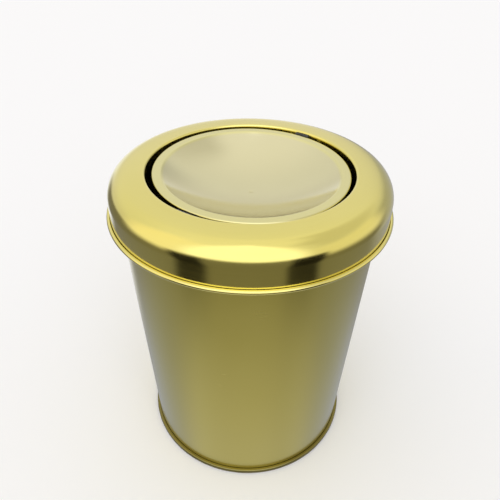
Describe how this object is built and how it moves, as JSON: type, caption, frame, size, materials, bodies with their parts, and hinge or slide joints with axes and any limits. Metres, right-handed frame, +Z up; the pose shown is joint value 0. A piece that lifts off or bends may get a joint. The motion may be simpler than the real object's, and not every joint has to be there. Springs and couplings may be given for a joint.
{
  "type": "swing-lid waste bin",
  "caption": "Round tapered sheet-metal waste bin with a lift-off domed lid and a dished round flap that tumbles on pivots in the lid's opening.",
  "frame": {"origin": "centre of the foot ring, on the surface that the bin stands on", "axes": "+Z up along the bin's axis, +X along the flap's pivot axis"},
  "size_m": [0.205, 0.205, 0.2381],
  "materials": {
    "satin_gold": "satin gold lacquer on sheet steel",
    "bright_gold": "semi-gloss gold lacquer on sheet steel",
    "dark_gold": "dark olive-gold lacquer on sheet steel",
    "zinc_steel": "zinc-plated steel",
    "grey_nylon": "moulded nylon"
  },
  "bodies": {
    "bin": {"body_shell": "satin_gold", "rim_wire": "zinc_steel", "base_plate": "dark_gold"},
    "lid": {"lid_ring": "bright_gold", "pivot_bush_left": "grey_nylon", "pivot_bush_right": "grey_nylon", "pivot_plate_left": "zinc_steel", "pivot_plate_right": "zinc_steel", "plate_rivet_1": "zinc_steel", "plate_rivet_2": "zinc_steel", "plate_rivet_3": "zinc_steel", "plate_rivet_4": "zinc_steel"},
    "flap": {"flap_dish": "bright_gold", "flap_strap": "zinc_steel", "pivot_pin_left": "zinc_steel", "pivot_pin_right": "zinc_steel", "pin_clip_left": "zinc_steel", "pin_clip_right": "zinc_steel"}
  },
  "joints": [
    {"name": "lid_lift", "type": "slide", "parent": "bin", "child": "lid", "axis": [0, 0, 1], "range_m": [0, 0.12]},
    {"name": "flap_swing", "type": "hinge", "parent": "lid", "child": "flap", "pos_m": [0, 0, 0.2307], "axis": [1, 0, 0], "continuous": true}
  ]
}
